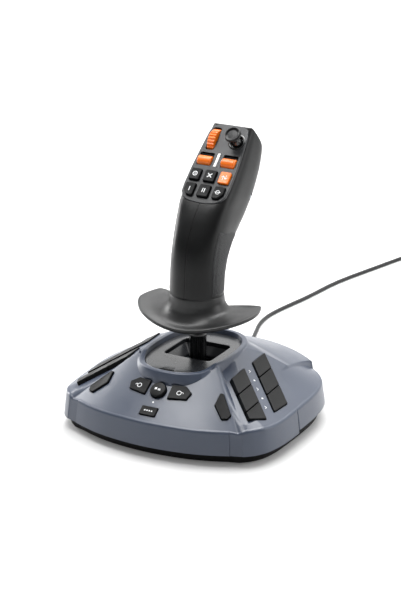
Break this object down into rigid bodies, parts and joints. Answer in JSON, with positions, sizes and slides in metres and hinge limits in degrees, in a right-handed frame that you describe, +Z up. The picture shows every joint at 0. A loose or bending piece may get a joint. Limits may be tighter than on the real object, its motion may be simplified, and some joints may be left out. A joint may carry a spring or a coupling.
{
  "type": "flight joystick",
  "caption": "Desk joystick: wide sloped base with two wings of keys and a front panel, gimballed stick, flared hand rest and a tall grip with an angled face of keys, rockers and a thumb stick.",
  "frame": {"origin": "on the table under the middle of the base", "axes": "+X to the user's right, -Y towards the user, +Z up"},
  "size_m": [0.23, 0.7414, 0.2783],
  "materials": {
    "slate_plastic": "satin moulded plastic",
    "black_plastic": "satin moulded plastic",
    "key_plastic": "satin moulded plastic",
    "gloss_black": "semi gloss",
    "orange_plastic": "satin moulded plastic",
    "rubber": "matt textured",
    "steel": "plain",
    "board": "solder mask",
    "clear_plastic": "clear light guide",
    "cord_jacket": "matt"
  },
  "bodies": {
    "base": {"base_top_shell": "slate_plastic", "base_lower_shell": "black_plastic", "foot_front_left": "rubber", "foot_front_right": "rubber", "foot_rear_left": "rubber", "foot_rear_right": "rubber", "ballast_plate": "steel", "base_board": "board", "key_mat_left": "rubber", "key_mat_right": "rubber", "bezel_plate": "gloss_black", "well_funnel": "gloss_black", "gimbal_cradle": "black_plastic", "cord_gland": "cord_jacket", "usb_cord": "cord_jacket", "cord_coil": "cord_jacket", "usb_plug": "steel"},
    "yoke": {"gimbal_yoke": "steel"},
    "stick": {"stick_shaft": "black_plastic"},
    "grip": {"hand_rest": "black_plastic", "rest_collar": "black_plastic", "grip_shell_left": "black_plastic", "grip_shell_right": "black_plastic", "grip_pad_left": "rubber", "grip_pad_right": "rubber", "grip_screw_1": "steel", "grip_screw_2": "steel", "face_plate": "key_plastic", "light_bar": "clear_plastic"},
    "wing_key_left_11": {"wing_key_left_11": "key_plastic"},
    "wing_key_left_12": {"wing_key_left_12": "key_plastic"},
    "wing_key_left_13": {"wing_key_left_13": "key_plastic"},
    "wing_key_left_21": {"wing_key_left_21": "key_plastic"},
    "wing_key_left_22": {"wing_key_left_22": "key_plastic"},
    "wing_key_left_23": {"wing_key_left_23": "key_plastic"},
    "wing_key_right_11": {"wing_key_right_11": "key_plastic"},
    "wing_key_right_12": {"wing_key_right_12": "key_plastic"},
    "wing_key_right_13": {"wing_key_right_13": "key_plastic"},
    "wing_key_right_21": {"wing_key_right_21": "key_plastic"},
    "wing_key_right_22": {"wing_key_right_22": "key_plastic"},
    "wing_key_right_23": {"wing_key_right_23": "key_plastic"},
    "panel_key_round": {"panel_key_round": "key_plastic"},
    "panel_key_mode": {"panel_key_mode": "key_plastic"},
    "panel_key_left": {"panel_key_left": "key_plastic"},
    "panel_key_right": {"panel_key_right": "key_plastic"},
    "panel_key_outer_left": {"panel_key_outer_left": "key_plastic"},
    "panel_key_outer_right": {"panel_key_outer_right": "key_plastic"},
    "grip_key_upper_1": {"grip_key_upper_1": "key_plastic"},
    "grip_key_upper_2": {"grip_key_upper_2": "key_plastic"},
    "grip_key_upper_3": {"grip_key_upper_3": "orange_plastic"},
    "grip_key_lower_1": {"grip_key_lower_1": "key_plastic"},
    "grip_key_lower_2": {"grip_key_lower_2": "key_plastic"},
    "grip_key_lower_3": {"grip_key_lower_3": "key_plastic"},
    "rocker_left": {"rocker_left": "orange_plastic"},
    "rocker_right": {"rocker_right": "orange_plastic"},
    "thumb_wheel": {"thumb_wheel": "orange_plastic"},
    "mini_stick_ring": {"mini_stick_ring": "steel"},
    "mini_stick": {"mini_stick": "key_plastic"},
    "trigger": {"trigger": "key_plastic"}
  },
  "joints": [
    {"name": "stick_pitch", "type": "hinge", "parent": "base", "child": "yoke", "pos_m": [0, -0.005, 0.04], "axis": [1, 0, 0], "range_deg": [-20, 20], "stiffness_Nm_per_rad": 2.5},
    {"name": "stick_roll", "type": "hinge", "parent": "yoke", "child": "stick", "pos_m": [0, -0.005, 0.04], "axis": [0, 1, 0], "range_deg": [-20, 20], "stiffness_Nm_per_rad": 2.5},
    {"name": "grip_twist", "type": "hinge", "parent": "stick", "child": "grip", "pos_m": [0, -0.005, 0.04], "axis": [0, 0, 1], "range_deg": [-15, 15], "stiffness_Nm_per_rad": 1},
    {"name": "wing_key_left_11_press", "type": "slide", "parent": "base", "child": "wing_key_left_11", "axis": [-0.4881, -0.0436, 0.8717], "range_m": [-0.0012, 0], "stiffness_N_per_m": 400},
    {"name": "wing_key_left_12_press", "type": "slide", "parent": "base", "child": "wing_key_left_12", "axis": [-0.4881, -0.0436, 0.8717], "range_m": [-0.0012, 0], "stiffness_N_per_m": 400},
    {"name": "wing_key_left_13_press", "type": "slide", "parent": "base", "child": "wing_key_left_13", "axis": [-0.4881, -0.0436, 0.8717], "range_m": [-0.0012, 0], "stiffness_N_per_m": 400},
    {"name": "wing_key_left_21_press", "type": "slide", "parent": "base", "child": "wing_key_left_21", "axis": [-0.4881, -0.0436, 0.8717], "range_m": [-0.0012, 0], "stiffness_N_per_m": 400},
    {"name": "wing_key_left_22_press", "type": "slide", "parent": "base", "child": "wing_key_left_22", "axis": [-0.4881, -0.0436, 0.8717], "range_m": [-0.0012, 0], "stiffness_N_per_m": 400},
    {"name": "wing_key_left_23_press", "type": "slide", "parent": "base", "child": "wing_key_left_23", "axis": [-0.4881, -0.0436, 0.8717], "range_m": [-0.0012, 0], "stiffness_N_per_m": 400},
    {"name": "wing_key_right_11_press", "type": "slide", "parent": "base", "child": "wing_key_right_11", "axis": [0.4881, -0.0436, 0.8717], "range_m": [-0.0012, 0], "stiffness_N_per_m": 400},
    {"name": "wing_key_right_12_press", "type": "slide", "parent": "base", "child": "wing_key_right_12", "axis": [0.4881, -0.0436, 0.8717], "range_m": [-0.0012, 0], "stiffness_N_per_m": 400},
    {"name": "wing_key_right_13_press", "type": "slide", "parent": "base", "child": "wing_key_right_13", "axis": [0.4881, -0.0436, 0.8717], "range_m": [-0.0012, 0], "stiffness_N_per_m": 400},
    {"name": "wing_key_right_21_press", "type": "slide", "parent": "base", "child": "wing_key_right_21", "axis": [0.4881, -0.0436, 0.8717], "range_m": [-0.0012, 0], "stiffness_N_per_m": 400},
    {"name": "wing_key_right_22_press", "type": "slide", "parent": "base", "child": "wing_key_right_22", "axis": [0.4881, -0.0436, 0.8717], "range_m": [-0.0012, 0], "stiffness_N_per_m": 400},
    {"name": "wing_key_right_23_press", "type": "slide", "parent": "base", "child": "wing_key_right_23", "axis": [0.4881, -0.0436, 0.8717], "range_m": [-0.0012, 0], "stiffness_N_per_m": 400},
    {"name": "panel_key_round_press", "type": "slide", "parent": "base", "child": "panel_key_round", "axis": [0, -0.5735, 0.8192], "range_m": [-0.0012, 0], "stiffness_N_per_m": 400},
    {"name": "panel_key_mode_press", "type": "slide", "parent": "base", "child": "panel_key_mode", "axis": [0, -0.5735, 0.8192], "range_m": [-0.0012, 0], "stiffness_N_per_m": 400},
    {"name": "panel_key_left_press", "type": "slide", "parent": "base", "child": "panel_key_left", "axis": [-0.0798, -0.5679, 0.8192], "range_m": [-0.0012, 0], "stiffness_N_per_m": 400},
    {"name": "panel_key_right_press", "type": "slide", "parent": "base", "child": "panel_key_right", "axis": [0.0798, -0.5679, 0.8192], "range_m": [-0.0012, 0], "stiffness_N_per_m": 400},
    {"name": "panel_key_outer_left_press", "type": "slide", "parent": "base", "child": "panel_key_outer_left", "axis": [-0.231, -0.5249, 0.8192], "range_m": [-0.0012, 0], "stiffness_N_per_m": 400},
    {"name": "panel_key_outer_right_press", "type": "slide", "parent": "base", "child": "panel_key_outer_right", "axis": [0.231, -0.5249, 0.8192], "range_m": [-0.0012, 0], "stiffness_N_per_m": 400},
    {"name": "grip_key_upper_1_press", "type": "slide", "parent": "grip", "child": "grip_key_upper_1", "axis": [0, -0.6751, 0.7378], "range_m": [-0.0015, 0], "stiffness_N_per_m": 400},
    {"name": "grip_key_upper_2_press", "type": "slide", "parent": "grip", "child": "grip_key_upper_2", "axis": [0, -0.6751, 0.7378], "range_m": [-0.0015, 0], "stiffness_N_per_m": 400},
    {"name": "grip_key_upper_3_press", "type": "slide", "parent": "grip", "child": "grip_key_upper_3", "axis": [0, -0.6751, 0.7378], "range_m": [-0.0015, 0], "stiffness_N_per_m": 400},
    {"name": "grip_key_lower_1_press", "type": "slide", "parent": "grip", "child": "grip_key_lower_1", "axis": [0, -0.6751, 0.7378], "range_m": [-0.0015, 0], "stiffness_N_per_m": 400},
    {"name": "grip_key_lower_2_press", "type": "slide", "parent": "grip", "child": "grip_key_lower_2", "axis": [0, -0.6751, 0.7378], "range_m": [-0.0015, 0], "stiffness_N_per_m": 400},
    {"name": "grip_key_lower_3_press", "type": "slide", "parent": "grip", "child": "grip_key_lower_3", "axis": [0, -0.6751, 0.7378], "range_m": [-0.0015, 0], "stiffness_N_per_m": 400},
    {"name": "rocker_left_turn", "type": "hinge", "parent": "grip", "child": "rocker_left", "pos_m": [-0.0126, 0.03497, 0.24554], "axis": [1, 0, 0], "range_deg": [-25, 25], "stiffness_Nm_per_rad": 0.05},
    {"name": "rocker_right_turn", "type": "hinge", "parent": "grip", "child": "rocker_right", "pos_m": [0.0126, 0.03497, 0.24554], "axis": [1, 0, 0], "range_deg": [-25, 25], "stiffness_Nm_per_rad": 0.05},
    {"name": "thumb_wheel_turn", "type": "hinge", "parent": "grip", "child": "thumb_wheel", "pos_m": [-0.013, 0.05538, 0.25716], "axis": [1, 0, 0], "range_deg": [-30, 30], "stiffness_Nm_per_rad": 0.05},
    {"name": "mini_stick_tilt_fore", "type": "hinge", "parent": "grip", "child": "mini_stick_ring", "pos_m": [0.012, 0.05258, 0.25948], "axis": [1, 0, 0], "range_deg": [-15, 15], "stiffness_Nm_per_rad": 0.05},
    {"name": "mini_stick_tilt_side", "type": "hinge", "parent": "mini_stick_ring", "child": "mini_stick", "pos_m": [0.012, 0.05258, 0.25948], "axis": [0, 0.7378, 0.6751], "range_deg": [-15, 15], "stiffness_Nm_per_rad": 0.05},
    {"name": "trigger_press", "type": "hinge", "parent": "grip", "child": "trigger", "pos_m": [0, 0.07991, 0.24314], "axis": [1, 0, 0], "range_deg": [-7, 0], "stiffness_Nm_per_rad": 2}
  ]
}
